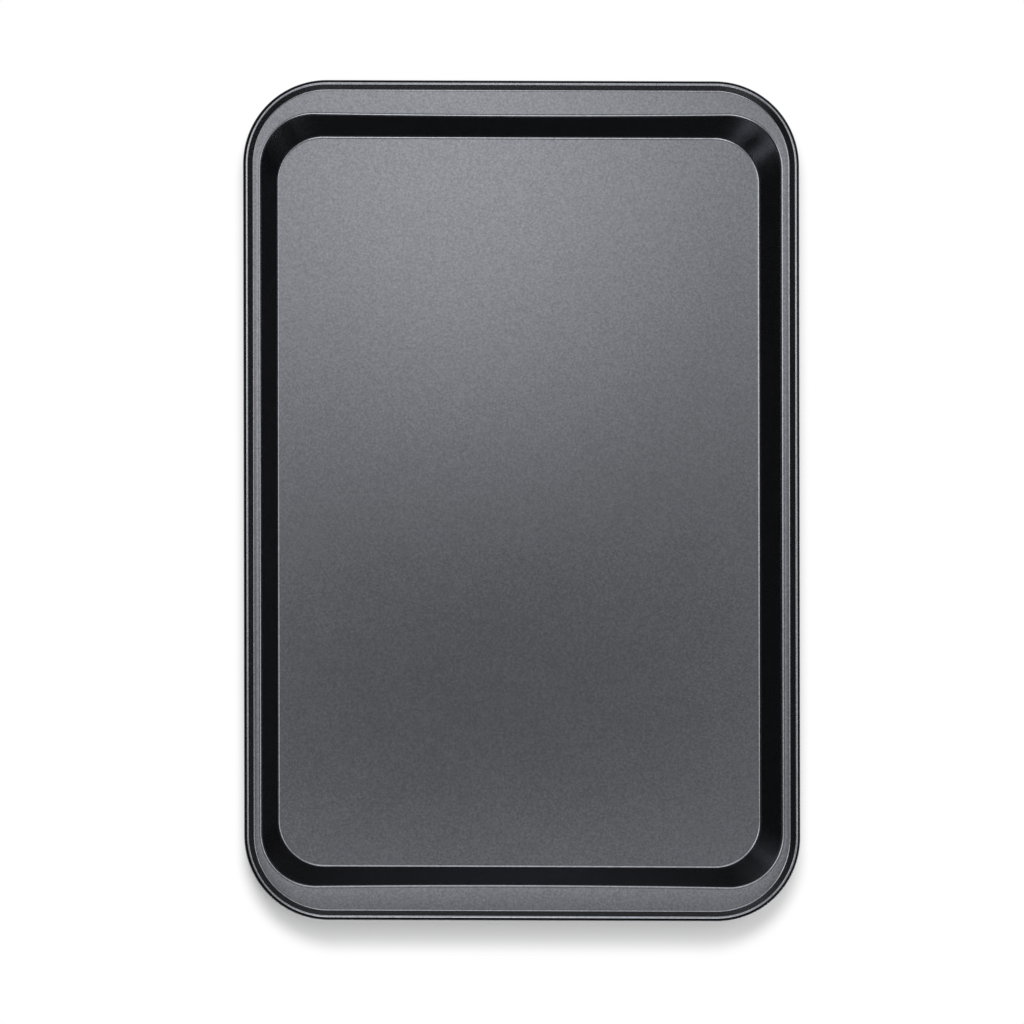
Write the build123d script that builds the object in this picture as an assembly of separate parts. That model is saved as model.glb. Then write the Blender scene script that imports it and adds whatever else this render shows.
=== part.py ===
from build123d import *
import os
from math import asin, atan2, cos, degrees, radians, sin

# A cookie sheet pressed from one piece of coated steel, with a wire rolled into its rim.
# Sizes are in millimetres and angles in degrees. +X runs across the sheet, +Y along it and +Z up.
# The origin is on the surface that the sheet stands on, below its middle.

# The steel sheet, and the size over the rolled rim
sheet_thickness = 0.5
overall_width = 255.0
overall_length = 384.0
outer_corner_radius = 38.5

# The tray: its depth from flange to floor, and how far the walls lean out on the way up
tray_depth = 13.0
wall_run = 8.9
mouth_corner_radius = 24.2
floor_corner_radius = 21.4

# The flange: narrow along the sides, wide at the ends, where it swells a little towards the middle
side_flange_width = 4.2
end_flange_width = 11.6
end_bow = 0.75

# Bend radii, each on the hollow side of its bend
floor_bend_radius = 2.0
mouth_bend_radius = 1.5
step_bend_radius = 0.6

# The rolled rim: the sheet steps up from the flange, then curls over and under the wire
wire_diameter = 2.0
wire_clearance = 0.03
wire_butt_gap = 1.0
flank_angle = 55.0
flank_length = 1.15
curl_wrap = 290.0

# How far a cutting solid runs past what it cuts
overrun = 5.0

# Heights of the flange, and radii of the curl round the wire
flange_top = sheet_thickness + tray_depth
flange_underside = flange_top - sheet_thickness
wire_radius = wire_diameter / 2
curl_inner_radius = wire_radius + wire_clearance
curl_outer_radius = curl_inner_radius + sheet_thickness

# The rim's band, from the outermost edge in to where the flat flange starts, and its crest
flank_sine = sin(radians(flank_angle))
flank_cosine = cos(radians(flank_angle))
rim_band = curl_outer_radius + flank_length * flank_cosine + (curl_outer_radius + step_bend_radius) * flank_sine
bead_rise = flank_length * flank_sine + (curl_outer_radius + step_bend_radius) * (1 - flank_cosine)
wire_height = flange_top + bead_rise - curl_outer_radius

# The flat blank that the rim surrounds, the mouth of the tray and its floor
blank_width = overall_width - 2 * rim_band
blank_length = overall_length - 2 * rim_band
mouth_width = blank_width - 2 * side_flange_width
mouth_length = blank_length - 2 * end_flange_width
floor_width = mouth_width - 2 * wall_run
floor_length = mouth_length - 2 * (wall_run + end_bow)

# A wall of even thickness: how far its outer face stands outside its inner one at a bend line
wall_lean = atan2(wall_run, tray_depth)
skin_outset = sheet_thickness * (1 - sin(wall_lean)) / cos(wall_lean)


def rounded_outline(width, length, corner_radius, bow=0):
    """A rounded rectangle whose two ends are drawn in by bow at their middle."""
    corner_x = width / 2 - corner_radius
    corner_y = length / 2 - corner_radius
    start = (width / 2, -corner_y)
    lean = 0
    if bow:
        centre_distance = (corner_x**2 + bow**2) / (2 * bow)
        lean = degrees(asin(corner_x / centre_distance))
    edges = []
    for turn in (1, -1):
        side = Line(start, (turn * width / 2, turn * corner_y))
        first_corner = JernArc(side @ 1, side % 1, corner_radius, 90 + lean)
        if bow:
            end = JernArc(first_corner @ 1, first_corner % 1, centre_distance - corner_radius, -2 * lean)
        else:
            end = Line(first_corner @ 1, (-turn * corner_x, turn * length / 2))
        last_corner = JernArc(end @ 1, end % 1, corner_radius, 90 + lean)
        start = last_corner @ 1
        edges += [side, first_corner, end, last_corner]
    return make_face(Wire(edges))


def tray_form(outset, mouth_height, floor_height, floor_radius, mouth_radius):
    """All the space on and above one skin of the tray: a tapered well under a wide slab."""
    well_mouth = rounded_outline(
        mouth_width + 2 * outset,
        mouth_length + 2 * outset,
        mouth_corner_radius + outset,
        end_bow,
    )
    well_floor = rounded_outline(
        floor_width + 2 * outset,
        floor_length + 2 * outset,
        floor_corner_radius + outset,
    )
    well = loft([Pos(Z=floor_height) * well_floor, Pos(Z=mouth_height) * well_mouth], ruled=True)
    well = fillet(well.edges().group_by(Axis.Z)[0], floor_radius)
    slab_width = overall_width + 2 * overrun
    slab_length = overall_length + 2 * overrun
    slab_height = flange_top + overrun - mouth_height
    slab = Box(slab_width, slab_length, slab_height, align=(Align.CENTER, Align.CENTER, Align.MIN))
    form = well + Pos(Z=mouth_height) * slab
    level_edges = form.edges().filter_by_position(Axis.Z, mouth_height, mouth_height)
    mouth_edges = level_edges.filter_by(
        lambda edge: abs(edge.center().X) < overall_width / 2 and abs(edge.center().Y) < overall_length / 2
    )
    return fillet(mouth_edges, mouth_radius)


def pressed_tray():
    """Floor, walls and flat flange, one sheet thick: the space over the lower skin less the upper one's."""
    lower = tray_form(
        skin_outset,
        flange_underside,
        0,
        floor_bend_radius + sheet_thickness,
        mouth_bend_radius,
    )
    upper = tray_form(
        0,
        flange_top,
        sheet_thickness,
        floor_bend_radius,
        mouth_bend_radius + sheet_thickness,
    )
    outline = rounded_outline(blank_width, blank_length, outer_corner_radius - rim_band)
    trim = extrude(outline, flange_top)
    return (lower - upper) & trim


def quarter_path(inset):
    """A quarter of the way round the rim, from the middle of the right side to the middle of the far end."""
    corner_y = overall_length / 2 - outer_corner_radius
    side = Line((overall_width / 2 - inset, 0), (overall_width / 2 - inset, corner_y))
    corner = JernArc(side @ 1, side % 1, outer_corner_radius - inset, 90)
    end = Line(corner @ 1, (0, overall_length / 2 - inset))
    return Wire([side, corner, end])


def rim_skin(step_radius, curl_radius, height):
    """One face of the sheet through the rim: up the step, along the flank and round the wire."""
    start = (overall_width / 2 - rim_band, height)
    step = JernArc(start, (1, 0), step_radius, flank_angle)
    flank = Line(step @ 1, step @ 1 + flank_length * (step % 1))
    curl = JernArc(flank @ 1, flank % 1, curl_radius, -curl_wrap)
    return [step, flank, curl]


def rolled_rim():
    """The sheet's edge, stepped up from the flange and curled round the wire."""
    upper = rim_skin(step_bend_radius, curl_outer_radius, flange_top)
    lower = rim_skin(step_bend_radius + sheet_thickness, curl_inner_radius, flange_underside)
    joint = Line(lower[0] @ 0, upper[0] @ 0)
    lip = Line(upper[-1] @ 1, lower[-1] @ 1)
    section = Plane.XZ * make_face(Wire([joint] + upper + [lip] + lower))
    quarter = sweep(section, quarter_path(rim_band))
    half = quarter + mirror(quarter, Plane.YZ)
    return half + mirror(half, Plane.XZ)


def rim_wire():
    """The stiffening wire: one length, bent to the rim, its ends meeting at the middle of the right side."""
    half_width = overall_width / 2 - curl_outer_radius
    half_length = overall_length / 2 - curl_outer_radius
    bend_radius = outer_corner_radius - curl_outer_radius
    corner_x = half_width - bend_radius
    corner_y = half_length - bend_radius
    first = Line((half_width, wire_butt_gap / 2), (half_width, corner_y))
    edges = [first]
    for target in ((-corner_x, half_length), (-half_width, -corner_y), (corner_x, -half_length)):
        corner = JernArc(edges[-1] @ 1, edges[-1] % 1, bend_radius, 90)
        edges += [corner, Line(corner @ 1, target)]
    corner = JernArc(edges[-1] @ 1, edges[-1] % 1, bend_radius, 90)
    edges += [corner, Line(corner @ 1, (half_width, -wire_butt_gap / 2))]
    section = Plane(first @ 0, z_dir=first % 0) * Circle(wire_radius)
    return Pos(Z=wire_height) * sweep(section, Wire(edges))


pieces = {
    "pan": pressed_tray() + rolled_rim(),
    "rim_wire": rim_wire(),
}

os.makedirs("parts", exist_ok=True)
for name, piece in pieces.items():
    export_step(piece, f"parts/{name}.step")
    print(name, "volume", round(piece.volume), "mm3, faces", len(piece.faces()))
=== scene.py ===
from math import asin, atan2, cos, pi, radians, sin

import bmesh
import bpy
import numpy as np
from mathutils import Matrix, Vector


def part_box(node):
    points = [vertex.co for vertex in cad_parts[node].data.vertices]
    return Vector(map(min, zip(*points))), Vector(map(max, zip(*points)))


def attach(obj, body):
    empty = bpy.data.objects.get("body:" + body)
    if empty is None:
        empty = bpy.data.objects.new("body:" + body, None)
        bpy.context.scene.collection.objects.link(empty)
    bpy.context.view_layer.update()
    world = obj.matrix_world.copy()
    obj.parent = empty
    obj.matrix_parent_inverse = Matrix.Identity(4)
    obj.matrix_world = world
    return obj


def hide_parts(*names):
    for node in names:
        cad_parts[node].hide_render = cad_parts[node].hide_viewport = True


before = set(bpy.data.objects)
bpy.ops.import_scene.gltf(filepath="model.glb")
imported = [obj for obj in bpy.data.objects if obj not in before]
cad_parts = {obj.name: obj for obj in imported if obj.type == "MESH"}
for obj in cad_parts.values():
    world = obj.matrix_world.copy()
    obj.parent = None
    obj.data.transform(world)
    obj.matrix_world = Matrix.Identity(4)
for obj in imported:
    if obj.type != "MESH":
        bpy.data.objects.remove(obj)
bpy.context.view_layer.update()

print("Packed solids loaded:", ", ".join(sorted(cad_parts)))
mm = 0.001      # the scene is in metres, and the sheet's own sizes below are in millimetres


# Small helpers for the finishes
def newFinish(name):
    finish = bpy.data.materials.new(name)
    finish.use_nodes = True
    finish.node_tree.nodes.clear()
    return finish, finish.node_tree


def addNode(tree, kind, inputs=None, **settings):
    made = tree.nodes.new(kind)
    for setting, value in settings.items():
        setattr(made, setting, value)
    for socket, value in (inputs or {}).items():
        if isinstance(value, bpy.types.NodeSocket):
            tree.links.new(value, made.inputs[socket])
        else:
            made.inputs[socket].default_value = value
    return made


def sums(tree, operation, first, second=0.0, third=0.0):
    inputs = {0: first, 1: second, 2: third}
    return addNode(tree, "ShaderNodeMath", inputs, operation=operation).outputs[0]


def vectors(tree, operation, first, second=(0, 0, 0), result="Vector"):
    inputs = {0: first, 1: second}
    return addNode(tree, "ShaderNodeVectorMath", inputs, operation=operation).outputs[result]


def shaded(tree, colour, shade):
    inputs = {0: colour, "Scale": shade}
    return addNode(tree, "ShaderNodeVectorMath", inputs, operation="SCALE").outputs["Vector"]


def noise(tree, place, size, detail, roughness):
    inputs = {"Vector": place, "Scale": 1 / (size * mm), "Detail": detail, "Roughness": roughness}
    return addNode(tree, "ShaderNodeTexNoise", inputs).outputs["Fac"]


def spread(tree, value, low, high, fromLow, fromHigh, curve="LINEAR"):
    inputs = {"Value": value, "From Min": fromLow, "From Max": fromHigh, "To Min": low, "To Max": high}
    return addNode(tree, "ShaderNodeMapRange", inputs, interpolation_type=curve).outputs["Result"]


# A value that a noise swings up and down; band is where most of the noise lies
def vary(tree, noiseValue, middle, swing, band):
    return spread(tree, noiseValue, middle - swing, middle + swing, *band)


# One where the camera, a mirroring coat or glass looks, and zero where only light arrives
def lookedAt(tree):
    path = addNode(tree, "ShaderNodeLightPath").outputs
    seen = sums(tree, "MAXIMUM", path["Is Camera Ray"], path["Is Glossy Ray"])
    return sums(tree, "MAXIMUM", seen, path["Is Transmission Ray"])


def addMesh(name, bm):
    mesh = bpy.data.meshes.new(name)
    bm.to_mesh(mesh)
    bm.free()
    made = bpy.data.objects.new(name, mesh)
    bpy.context.scene.collection.objects.link(made)
    return made


# The pan is one sheet of steel: floor, leaning walls, flat flange, and an edge that is stepped up and
# rolled over a wire
pan = {
    "sheet": 0.5,               # thickness of the steel
    "outerCorner": 38.5,        # radius of the outline's corners, over the rolled rim
    "trayDepth": 13.0,          # from the flange down to the floor
    "wallRun": 8.9,             # how far the walls lean out on the way up
    "mouthCorner": 24.2,
    "floorCorner": 21.4,
    "sideFlange": 2.95,
    "endFlange": 10.45,
    "endBow": 0.75,             # how far the mouth's two ends are drawn in at their middle
    "floorBend": 2.0,
    "mouthBend": 1.5,
    "endFall": 2.0,             # slope of the end flanges down from the mouth, in degrees
    "sideFall": 5.0,            # and of the side flanges; both level out at the rim's foot
    "stepBend": 1.4,            # the soft foot of the step between flange and bead
    "wireDiameter": 2.0,
    "wireClearance": 0.03,
    "flankAngle": 33,           # slope of the step, and of the shoulder outside the crest
    "crestBend": 0.9,
    "browBend": 0.6,            # where the shoulder turns down to the outermost line
    "curlEnd": 145,             # how far the edge is rolled on from there, in degrees
    "lipRounding": 0.12,        # how far the cut edge stands proud at its middle
    "wearDepth": 0.35,          # the coat rubs thin down to here below the crest
}
floorWaves = {
    "height": 0.05,             # slight waves that pressing leaves in a flat floor
    "length": 95.0,
    "crossTurns": (1.0, 0.81),  # a crossed wave's turns in that length, along x and y
    "crossStart": (0.7, 0.4),
    "slantTurns": (0.53, -0.47),
    "slantStart": 2.1,
    "slantShare": 0.6,          # height of the slanting wave, as a share of the crossed one
    "clearance": (22.0, 32.0),  # the waves end this far inside the sides and the ends
    "fade": 30.0,
}
meshSteps = {
    "side": 36,                 # faces along half a side, a corner and half an end
    "corner": 32,
    "end": 22,
    "bend": 8,                  # faces over a bend, and over the curl under the wire
    "curl": 16,
    "flat": 4,                  # rows of points inside a wall or a flange, between its guards
    "creaseGuard": 0.22,        # a row of faces this wide beside each bend keeps the flats flat
    "guardShare": 0.3,          # and takes no more than this share of a narrow flat
    "straight": (0.15, 0.5, 0.85, 1.0),         # where rows cross a straight length of the rim
    "lip": (0.08, 0.25, 0.5, 0.75, 0.92),       # and where they cross the cut edge
    "settleRounds": 600,        # how often the floor's points move to between their neighbours
}

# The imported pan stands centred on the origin, so the high corner of its box gives its halves and its crest
halfWidth, halfLength, crestTop = (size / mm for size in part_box("pan")[1])
flangeTop = pan["sheet"] + pan["trayDepth"]
curlInner = pan["wireDiameter"] / 2 + pan["wireClearance"]
curlOuter = curlInner + pan["sheet"]
flank = radians(pan["flankAngle"])
crestRise = crestTop - flangeTop
twoBends = pan["stepBend"] + pan["crestBend"]
flankLength = (crestRise - twoBends * (1 - cos(flank))) / sin(flank)
rimBand = curlOuter + twoBends * sin(flank) + flankLength * cos(flank)


# Stations round a rounded rectangle whose ends are drawn in by bow, with the outward direction at each
def outline(halfX, halfY, corner, bow=0.0):
    cornerX, cornerY = halfX - corner, halfY - corner
    reach = (cornerX**2 + bow**2) / (2 * bow) if bow else 0.0
    lean = asin(cornerX / reach) if bow else 0.0
    quarter = []
    for step in range(meshSteps["side"]):
        quarter.append((halfX, cornerY * step / meshSteps["side"], 0.0))
    for step in range(meshSteps["corner"]):
        turn = (pi / 2 + lean) * step / meshSteps["corner"]
        quarter.append((cornerX + corner * cos(turn), cornerY + corner * sin(turn), turn))
    for step in range(meshSteps["end"] + 1):
        left = 1 - step / meshSteps["end"]
        if bow:
            tilt = lean * left
            arc = reach - corner
            quarter.append((arc * sin(tilt), cornerY + reach * cos(lean) - arc * cos(tilt), pi / 2 + tilt))
        else:
            quarter.append((cornerX * left, halfY, pi / 2))
    quarter = np.array(quarter)
    points = quarter[:, :2]
    outward = np.column_stack((np.cos(quarter[:, 2]), np.sin(quarter[:, 2])))

    def loop(q):
        ahead, back = q[:-1], q[:0:-1]
        return np.vstack((ahead, back * (-1, 1), -ahead, back * (1, -1)))

    return loop(points), loop(outward)


rimFoot = outline(halfWidth - rimBand, halfLength - rimBand, pan["outerCorner"] - rimBand)


def ring(line, out, height):
    points, outward = line
    out = np.broadcast_to(out, len(points))
    height = np.broadcast_to(height, len(points))
    height = np.minimum(height, crestTop)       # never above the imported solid's crest
    return np.column_stack((points + outward * out[:, None], height))


# Rows that cross a flat: one close to each end, to guard the bends beside it, and some in the middle
def flatRows(first, last):
    width = np.linalg.norm(last - first, axis=1)[:, None]
    guard = np.minimum(meshSteps["creaseGuard"] / width, meshSteps["guardShare"])
    shares = (guard + (1 - 2 * guard) * step for step in np.linspace(0, 1, meshSteps["flat"] + 2))
    return [first + (last - first) * share for share in shares]


# One skin of the tray, from the floor's edge up the wall and out to the foot of the rim
def traySkin(outset, floorHeight, flangeHeight, floorBend, mouthBend):
    mouthX = halfWidth - rimBand - pan["sideFlange"]
    mouthY = halfLength - rimBand - pan["endFlange"]
    mouth = outline(mouthX + outset, mouthY + outset, pan["mouthCorner"] + outset, pan["endBow"])
    floorX = mouthX - pan["wallRun"]
    floorY = mouthY - pan["wallRun"] - pan["endBow"]
    floorLine = outline(floorX + outset, floorY + outset, pan["floorCorner"] + outset)
    fall = np.radians(pan["endFall"] + (pan["sideFall"] - pan["endFall"]) * mouth[1][:, 0] ** 2)
    width = ((rimFoot[0] - mouth[0]) * mouth[1]).sum(1)
    run = ((mouth[0] - floorLine[0]) * floorLine[1]).sum(1)
    slope = np.arctan2(flangeHeight + width * np.tan(fall) / 2 - floorHeight, run)
    steps = np.linspace(0, 1, meshSteps["bend"] + 1)

    setBack = floorBend * np.tan(slope / 2)
    inside = ring(floorLine, -setBack - meshSteps["creaseGuard"], floorHeight)
    lower = []
    for turn in (slope * step for step in steps):
        lower.append(ring(
            floorLine, floorBend * np.sin(turn) - setBack, floorHeight + floorBend * (1 - np.cos(turn))
        ))

    setBack = mouthBend * np.tan((slope + fall) / 2)
    mouthHeight = flangeHeight + (width - setBack * np.cos(fall)) * np.tan(fall) / 2 + setBack * np.sin(fall)
    upper = []
    for turn in (slope - (slope + fall) * step for step in steps):
        out = mouthBend * (np.sin(slope) - np.sin(turn)) - setBack * np.cos(slope)
        up = mouthBend * (np.cos(turn) - np.cos(slope)) - setBack * np.sin(slope)
        upper.append(ring(mouth, out, mouthHeight + up))

    foot = ring(rimFoot, 0.0, flangeHeight)
    flange = flatRows(upper[-1], foot)
    for row in flange:      # the flange levels out towards the rim
        share = np.linalg.norm(row - upper[-1], axis=1) / np.linalg.norm(foot - upper[-1], axis=1)
        row[:, 2] -= (upper[-1][:, 2] - flangeHeight) * share * (1 - share)
    return [inside] + lower + flatRows(lower[-1], upper[0]) + upper + flange + [foot]


# Follows a section from the rim's foot, as straight lengths and bends. A bend is a radius, a turn in
# degrees, up positive, and a number of steps
def follow(stretches):
    out = up = heading = 0.0
    rows = [(out, up)]
    for stretch in stretches:
        if isinstance(stretch, tuple):
            radius, turn, steps = stretch
            radius = radius if turn > 0 else -radius
            centre = (out - radius * sin(heading), up + radius * cos(heading))
            for step in range(1, steps + 1):
                slope = heading + radians(turn) * step / steps
                rows.append((centre[0] + radius * sin(slope), centre[1] - radius * cos(slope)))
            heading += radians(turn)
        else:
            for share in meshSteps["straight"]:
                rows.append((out + stretch * cos(heading) * share, up + stretch * sin(heading) * share))
        out, up = rows[-1]
    return rows


# The outer face of the rim: a soft step up, a tight crest, the shoulder, and round under the wire to the lip
def outerRim():
    angle, crest, brow = pan["flankAngle"], pan["crestBend"], pan["browBend"]
    bend, curl = meshSteps["bend"], meshSteps["curl"]
    shoulder = (curlOuter - crest * sin(flank) - brow * (1 - sin(flank))) / cos(flank)
    drop = curlOuter - crest * (1 - cos(flank)) - shoulder * sin(flank) - brow * cos(flank)
    return follow([
        (pan["stepBend"], angle, bend), flankLength,
        (crest, -2 * angle, 2 * bend), shoulder,
        (brow, angle - 90, bend), drop,
        (curlOuter, -pan["curlEnd"], curl),
    ])


# Its inner face lies against the wire, so its own bend and straight follow from where the wire is
def innerRim():
    wireOut, wireUp = rimBand - curlOuter, crestRise + pan["sheet"] - curlOuter
    bend, straight = np.linalg.solve(
        [[1 - cos(flank), sin(flank)], [sin(flank), cos(flank)]],
        [wireUp + curlInner * cos(flank), wireOut - curlInner * sin(flank)],
    )
    wrap = 90 + pan["flankAngle"] + pan["curlEnd"]
    return follow([
        (bend, pan["flankAngle"], meshSteps["bend"]), straight,
        (curlInner, -wrap, 2 * meshSteps["curl"]),
    ])


# The cut edge of the sheet, a little rounded
def lipRows(first, last, before):
    onward = first - before
    onward /= np.linalg.norm(onward, axis=1)[:, None]
    return [
        first + (last - first) * share + onward * pan["lipRounding"] * sin(pi * share) ** 0.5
        for share in meshSteps["lip"]
    ]


def wholeSection():
    sheet = pan["sheet"]
    topTray = traySkin(0.0, sheet, flangeTop, pan["floorBend"], pan["mouthBend"] + sheet)
    lean = atan2(pan["wallRun"], pan["trayDepth"])
    outset = sheet * (1 - sin(lean)) / cos(lean)        # keeps the wall at one thickness
    underTray = traySkin(outset, 0.0, flangeTop - sheet, pan["floorBend"] + sheet, pan["mouthBend"])
    topRim = [ring(rimFoot, out, flangeTop + up) for out, up in outerRim()]
    underRim = [ring(rimFoot, out, flangeTop - sheet + up) for out, up in innerRim()]
    lip = lipRows(topRim[-1], underRim[-1], topRim[-2])
    return topTray + topRim[1:] + lip + underRim[:0:-1] + underTray[::-1]


# Fills a closed ring with an even grid of four-sided faces. Returns the place of each grid point in the
# ring, or -1 for a new one, and all its points
def gridInside(edge):
    total = len(edge)
    half, eighth = total // 2, meshSteps["side"] + meshSteps["corner"] // 2
    across, along = half - 2 * eighth, 2 * eighth
    place = np.zeros((across + 1, along + 1), int) - 1
    place[:, 0] = [(half + eighth + i) % total for i in range(across + 1)]
    place[:, -1] = [half - eighth - i for i in range(across + 1)]
    place[0, :] = [half + eighth - j for j in range(along + 1)]
    place[-1, :] = [(total - eighth + j) % total for j in range(along + 1)]
    grid = np.zeros((across + 1, along + 1, 3))
    border = place >= 0
    grid[border] = edge[place[border]]
    u = np.linspace(0, 1, across + 1)[:, None, None]
    v = np.linspace(0, 1, along + 1)[None, :, None]
    corners = (
        (1 - u) * (1 - v) * grid[0, 0] + u * (1 - v) * grid[-1, 0]
        + (1 - u) * v * grid[0, -1] + u * v * grid[-1, -1]
    )
    filled = (1 - v) * grid[:, :1] + v * grid[:, -1:] + (1 - u) * grid[:1] + u * grid[-1:] - corners
    filled[border] = grid[border]
    for _ in range(meshSteps["settleRounds"]):      # each point settles between its neighbours
        filled[1:-1, 1:-1] = (
            filled[:-2, 1:-1] + filled[2:, 1:-1] + filled[1:-1, :-2] + filled[1:-1, 2:]
        ) / 4
    return place, filled


# How far the waves lift the floor: from nothing to their height, and nothing beside the bends
def waveLift(x, y):
    turn = 2 * pi / floorWaves["length"]
    turnX, turnY = floorWaves["crossTurns"]
    startX, startY = floorWaves["crossStart"]
    crossed = np.sin(x * turn * turnX + startX) * np.cos(y * turn * turnY + startY)
    turnX, turnY = floorWaves["slantTurns"]
    slanted = np.sin(x * turn * turnX + y * turn * turnY + floorWaves["slantStart"])
    most = 1 + floorWaves["slantShare"]
    wave = (crossed + floorWaves["slantShare"] * slanted + most) / (2 * most)
    clearX, clearY = floorWaves["clearance"]
    inX = np.clip((halfWidth - clearX - np.abs(x)) / floorWaves["fade"], 0, 1)
    inY = np.clip((halfLength - clearY - np.abs(y)) / floorWaves["fade"], 0, 1)
    return floorWaves["height"] * wave * inX**2 * (3 - 2 * inX) * inY**2 * (3 - 2 * inY)


# The floor inside one skin's innermost ring; the underside's faces look the other way
def fillFloor(bm, edge, row, flip):
    place, filled = gridInside(edge)
    filled[..., 2] += waveLift(filled[..., 0], filled[..., 1])
    verts = np.empty(place.shape, object)
    for spot in np.ndindex(place.shape):
        verts[spot] = row[place[spot]] if place[spot] >= 0 else bm.verts.new(filled[spot] * mm)
    for i in range(place.shape[0] - 1):
        for j in range(place.shape[1] - 1):
            face = [verts[i, j], verts[i + 1, j], verts[i + 1, j + 1], verts[i, j + 1]]
            bm.faces.new(face[::-1] if flip else face)


def buildPan():
    rings = wholeSection()
    count = len(rings[0])
    bm = bmesh.new()
    wear = bm.verts.layers.float.new("edgeWear")
    rows = [[bm.verts.new(point * mm) for point in points] for points in rings]
    for lower, upper in zip(rows, rows[1:]):
        for i in range(count):
            j = (i + 1) % count
            bm.faces.new((lower[i], upper[i], upper[j], lower[j]))
    fillFloor(bm, rings[0], rows[0], False)
    fillFloor(bm, rings[-1], rows[-1], True)
    for row, points in zip(rows, rings):
        below = crestTop - points[:, 2].mean()
        for vert in row:
            vert[wear] = max(0.0, 1 - below / pan["wearDepth"])
    for face in bm.faces:
        face.smooth = True
    return addMesh("pressed_pan", bm)


# The coat: a dark grey non-stick finish with a fine metallic grain, satin rather than glossy
coating = {
    "colour": (0.193, 0.199, 0.217),
    "metallic": 1.0,
    "roughness": 0.20,
    "roughnessSwing": 0.004,
    "edgeTint": (0.42, 0.42, 0.42, 1.0),    # keeps the coat dark at a glancing angle
    "grain": 0.88,              # size of the grain, in millimetres
    "grainLayers": (2.0, 0.6),  # detail of its noise, and how strong the finer layers are
    "grainBand": (0.25, 0.75),
    "grainSwing": 0.24,
    "grainDepth": 0.006,
    "clouds": 22.0,             # size of the soft clouding
    "cloudLayers": (3.0, 0.55),
    "cloudBand": (0.3, 0.7),
    "cloudSwing": 0.008,
    "wearLift": 0.25,           # how much lighter the coat gets where it rubs along the crest
}


def coatFinish():
    finish, tree = newFinish("coated_steel")
    place = addNode(tree, "ShaderNodeTexCoord").outputs["Object"]
    grain = noise(tree, place, coating["grain"], *coating["grainLayers"])
    cloud = noise(tree, place, coating["clouds"], *coating["cloudLayers"])
    fleck = vary(tree, grain, 1.0, coating["grainSwing"], coating["grainBand"])
    clouding = vary(tree, cloud, 1.0, coating["cloudSwing"], coating["cloudBand"])
    wear = addNode(tree, "ShaderNodeAttribute", attribute_name="edgeWear").outputs["Fac"]
    lift = sums(tree, "MULTIPLY_ADD", wear, coating["wearLift"], 1.0)
    shade = sums(tree, "MULTIPLY", sums(tree, "MULTIPLY", fleck, clouding), lift)
    bump = {"Height": grain, "Strength": 1.0, "Distance": coating["grainDepth"] * mm}
    shader = addNode(tree, "ShaderNodeBsdfPrincipled", {
        "Base Color": shaded(tree, coating["colour"], shade),
        "Metallic": coating["metallic"],
        "Roughness": vary(tree, cloud, coating["roughness"], coating["roughnessSwing"], coating["cloudBand"]),
        "Specular Tint": coating["edgeTint"],
        "Normal": addNode(tree, "ShaderNodeBump", bump).outputs["Normal"],
    })
    addNode(tree, "ShaderNodeOutputMaterial", {"Surface": shader.outputs["BSDF"]})
    return finish


pressedPan = buildPan()
pressedPan.data.materials.append(coatFinish())
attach(pressedPan, "root")
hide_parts("pan")
print("Pan pressed and rolled:", len(pressedPan.data.polygons), "faces")


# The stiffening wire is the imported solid, bare drawn steel, seen only through the gap under the curl
wireSteel = {
    "colour": (0.46, 0.46, 0.45),
    "metallic": 1.0,
    "roughness": 0.34,
    "roughnessSwing": 0.05,
    "drawLines": 0.35,          # size of the die's fine lines, in millimetres
    "drawLayers": (3.0, 0.6),
    "drawBand": (0.3, 0.7),
    "drawSwing": 0.12,
}


def wireFinish():
    finish, tree = newFinish("wire_steel")
    place = addNode(tree, "ShaderNodeTexCoord").outputs["Object"]
    lines = noise(tree, place, wireSteel["drawLines"], *wireSteel["drawLayers"])
    shade = vary(tree, lines, 1.0, wireSteel["drawSwing"], wireSteel["drawBand"])
    rough = vary(tree, lines, wireSteel["roughness"], wireSteel["roughnessSwing"], wireSteel["drawBand"])
    shader = addNode(tree, "ShaderNodeBsdfPrincipled", {
        "Base Color": shaded(tree, wireSteel["colour"], shade),
        "Metallic": wireSteel["metallic"],
        "Roughness": rough,
    })
    addNode(tree, "ShaderNodeOutputMaterial", {"Surface": shader.outputs["BSDF"]})
    return finish


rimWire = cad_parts["rim_wire"]
rimWire.data.materials.clear()
rimWire.data.materials.append(wireFinish())
print("Rim wire finished")


# The floor: a pale sheet that turns up a little far away. Its own colour is the background, and near the
# pan it keeps the real shadow
stage = {
    "colour": (0.90, 0.90, 0.90, 1.0),
    "rings": (0.5, 1.5, 4.0, 12.0),     # radii in metres; it is flat out to the last
    "coveRadius": 12.5,
    "coveHeight": 0.30,
    "coveSteps": 8,
    "spokes": 96,
    "gap": 0.1,                 # millimetres under the pan, so that the two never share a plane
    "nearShare": 0.18,          # how much of the plain white shows where the shadow is deepest
    "shadowShift": (1.5, -7.0), # the shadow lies towards the near end and a little right, in millimetres
    "shadowInset": 4.5,         # and is a little narrower than the pan
    "whiteFrom": 9.5,           # millimetres outside it where only the white is left
}


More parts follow.
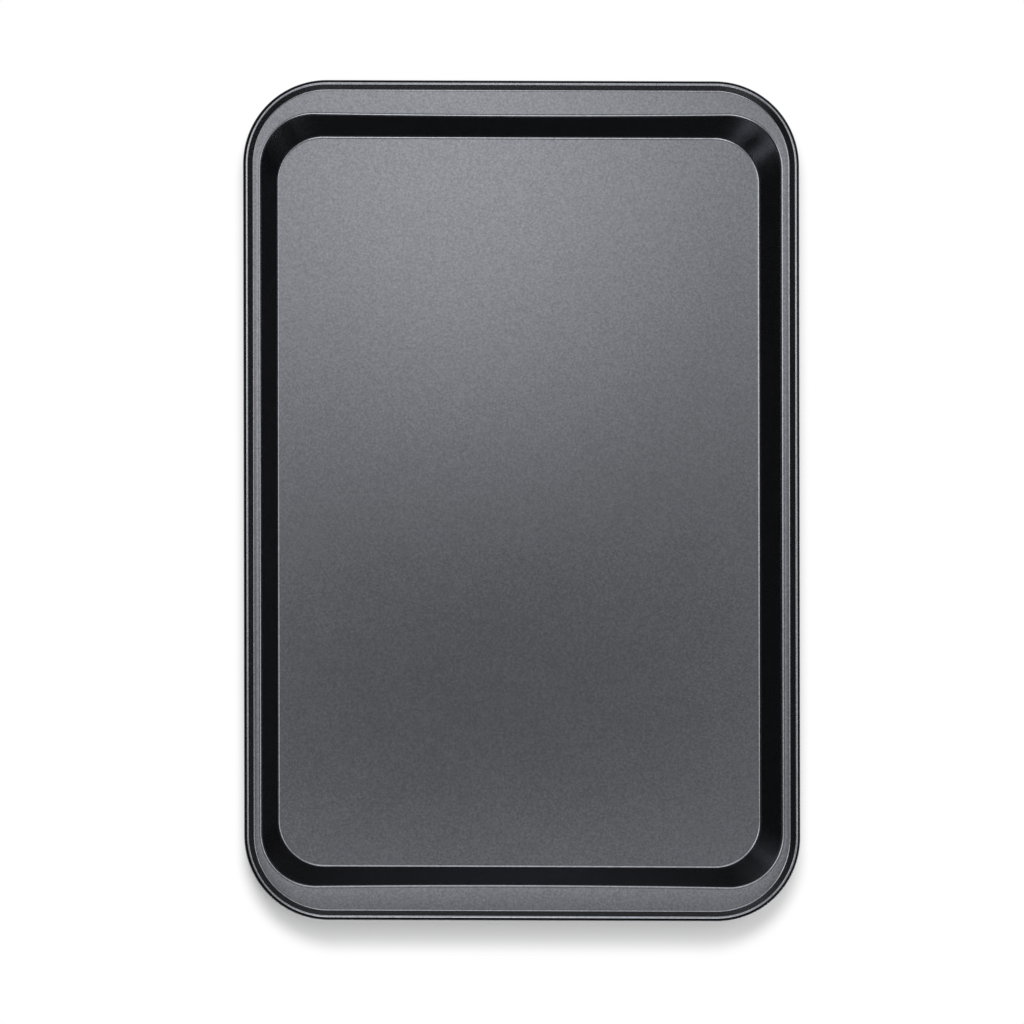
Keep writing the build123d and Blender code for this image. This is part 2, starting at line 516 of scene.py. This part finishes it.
def stageFinish():
    finish, tree = newFinish("pale_floor")
    place = addNode(tree, "ShaderNodeTexCoord").outputs["Object"]
    corner = pan["outerCorner"] * mm
    shift = (*(way * mm for way in stage["shadowShift"]), 0.0)
    inset = ((halfWidth - stage["shadowInset"]) * mm - corner, halfLength * mm - corner, 0.0)
    flat = vectors(tree, "ABSOLUTE", vectors(tree, "SUBTRACT", place, shift))
    past = vectors(tree, "MAXIMUM", vectors(tree, "SUBTRACT", flat, inset))
    away = vectors(tree, "LENGTH", past, result="Value")
    whiteAt = corner + stage["whiteFrom"] * mm
    share = spread(tree, away, stage["nearShare"], 1.0, corner, whiteAt, "SMOOTHSTEP")
    share = sums(tree, "MULTIPLY", share, lookedAt(tree))
    white = addNode(tree, "ShaderNodeEmission", {"Color": (1, 1, 1, 1), "Strength": 1.0}).outputs["Emission"]
    pale = addNode(tree, "ShaderNodeBsdfDiffuse", {"Color": stage["colour"]}).outputs["BSDF"]
    mixed = addNode(tree, "ShaderNodeMixShader", {0: share, 1: pale, 2: white}).outputs["Shader"]
    # From below, the floor isn't there, so the pan's underside can be seen
    back = addNode(tree, "ShaderNodeNewGeometry").outputs["Backfacing"]
    clear = addNode(tree, "ShaderNodeBsdfTransparent").outputs["BSDF"]
    oneSided = addNode(tree, "ShaderNodeMixShader", {0: back, 1: mixed, 2: clear})
    addNode(tree, "ShaderNodeOutputMaterial", {"Surface": oneSided.outputs["Shader"]})
    return finish


def buildStage():
    flatRadius, spokes = stage["rings"][-1], stage["spokes"]
    profile = [(radius, 0.0) for radius in stage["rings"]]
    for turn in np.linspace(0, pi / 2, stage["coveSteps"] + 1)[1:]:
        out = flatRadius + (stage["coveRadius"] - flatRadius) * sin(turn)
        profile.append((out, stage["coveHeight"] * (1 - cos(turn))))
    bm = bmesh.new()
    middle = bm.verts.new((0, 0, 0))
    angles = [2 * pi * i / spokes for i in range(spokes)]
    rows = [
        [bm.verts.new((radius * cos(angle), radius * sin(angle), height)) for angle in angles]
        for radius, height in profile
    ]
    for i in range(spokes):
        j = (i + 1) % spokes
        bm.faces.new((middle, rows[0][i], rows[0][j]))
        for inner, outer in zip(rows, rows[1:]):
            bm.faces.new((inner[i], outer[i], outer[j], inner[j]))
    made = addMesh("pale_floor", bm)
    made.location.z = -stage["gap"] * mm
    return made


paleFloor = buildStage()
paleFloor.data.materials.append(stageFinish())
print("Floor laid")


# Studio light: broad, soft lamps that face straight down and fade out from their middle, so that none
# shows as a hot spot in the coat. Places and reaches are in metres, power in watts. No two are at one
# height, as lamps in one plane dim each other
lamps = {
    "farSoftbox": {"at": (0.08, 0.72, 0.80), "reach": (0.34, 0.26), "power": 27.6},
    "rightSoftbox": {"at": (0.68, 0.00, 0.82), "reach": (0.20, 0.30), "power": 10.1},
    "nearSoftbox": {"at": (0.05, -0.60, 0.81), "reach": (0.30, 0.22), "power": 11.7},
    "leftSoftbox": {"at": (-0.44, 0.18, 0.79), "reach": (0.15, 0.18), "power": 9.8},
    "innerNear": {"at": (0.05, -0.47, 0.785), "reach": (0.16, 0.15), "power": 8.7},
    "innerRight": {"at": (0.53, 0.10, 0.795), "reach": (0.15, 0.20), "power": 5.6},
    "innerLeft": {"at": (-0.28, 0.06, 0.805), "reach": (0.09, 0.16), "power": 2.9},
    "overFar": {"at": (0.05, 0.19, 0.815), "reach": (0.08, 0.09), "power": 1.2},
}
lampSpan = 6.0      # how many reaches wide a lamp's cloth is; its light falls off as a bell curve across it
worldLight = {
    "strength": 0.008,
    "bandStrength": 0.18,       # a dim band of light low down all round, which the coat shows from the side
    "bandRise": (6.0, 11.0),    # degrees above the horizon
    "bandFall": (13.0, 18.0),
}


def hangLamp(name, lamp):
    light = bpy.data.lights.new(name, "AREA")
    light.shape = "RECTANGLE"
    light.size, light.size_y = (lampSpan * reach for reach in lamp["reach"])
    light.energy = lamp["power"]
    light.use_nodes = True
    tree = light.node_tree
    across = addNode(tree, "ShaderNodeNewGeometry").outputs["Parametric"]
    side = addNode(tree, "ShaderNodeSeparateXYZ", {0: across}).outputs
    offX, offY = (sums(tree, "SUBTRACT", side[axis], 0.5) for axis in "XY")
    away = sums(tree, "MULTIPLY_ADD", offY, offY, sums(tree, "MULTIPLY", offX, offX))
    fade = sums(tree, "EXPONENT", sums(tree, "MULTIPLY", away, -(lampSpan**2) / 2))
    tree.links.new(fade, tree.nodes["Emission"].inputs["Strength"])
    made = bpy.data.objects.new(name, light)
    made.location = lamp["at"]
    made.visible_camera = False
    bpy.context.scene.collection.objects.link(made)


def lightWorld():
    world = bpy.data.worlds.new("studio")
    world.use_nodes = True
    tree = world.node_tree
    towards = addNode(tree, "ShaderNodeTexCoord").outputs["Generated"]
    height = addNode(tree, "ShaderNodeSeparateXYZ", {0: towards}).outputs["Z"]
    rise, fall = ([sin(radians(angle)) for angle in worldLight[end]] for end in ("bandRise", "bandFall"))
    risen = spread(tree, height, 0.0, worldLight["bandStrength"], *rise, "SMOOTHSTEP")
    glow = sums(tree, "MULTIPLY", risen, spread(tree, height, 1.0, 0.0, *fall, "SMOOTHSTEP"))
    glow = sums(tree, "MAXIMUM", glow, worldLight["strength"])
    # The world is white too where a low view looks past under the floor, or a view from below looks up
    # through it. The pan's underside mirrors what lies below it, and that is the floor
    path = addNode(tree, "ShaderNodeLightPath").outputs
    through = sums(tree, "GREATER_THAN", path["Transparent Depth"], 0.5)
    through = sums(tree, "MULTIPLY", through, path["Is Camera Ray"])
    under = sums(tree, "MULTIPLY", lookedAt(tree), sums(tree, "LESS_THAN", height, 0.0))
    white = sums(tree, "MAXIMUM", through, under)
    background = tree.nodes["Background"].inputs
    tree.links.new(sums(tree, "MAXIMUM", white, glow), background["Strength"])
    background["Color"].default_value = (1, 1, 1, 1)
    bpy.context.scene.world = world


for name, lamp in lamps.items():
    hangLamp(name, lamp)
lightWorld()
print("Lamps hung:", len(lamps))


# The camera looks almost straight down, a little from the left and from the near end
camera = {
    "aim": (-0.0044, -0.0052, 0.0138),
    "back": (-0.097, -0.054, 1.0),
    "distance": 1.6,
    "frameWidth": 0.4675,       # metres across the picture
    "roll": -0.10,              # degrees, which shares out the slight skew between the sides and the ends
    "clip": (0.01, 20.0),
}


def placeCamera():
    lens = bpy.data.cameras.new("camera")
    lens.type = "ORTHO"
    lens.ortho_scale = camera["frameWidth"]
    lens.clip_start, lens.clip_end = camera["clip"]
    made = bpy.data.objects.new("camera", lens)
    back = Vector(camera["back"]).normalized()
    right = Vector((0, 1, 0)).cross(back).normalized()
    up = back.cross(right)
    roll = radians(camera["roll"])
    right, up = right * cos(roll) + up * sin(roll), up * cos(roll) - right * sin(roll)
    made.matrix_world = Matrix.LocRotScale(
        Vector(camera["aim"]) + back * camera["distance"],
        Matrix((right, up, back)).transposed(),
        None,
    )
    bpy.context.scene.collection.objects.link(made)
    bpy.context.scene.camera = made


placeCamera()
bpy.context.scene.view_settings.view_transform = "Standard"
print("Camera placed")

bpy.context.view_layer.update()
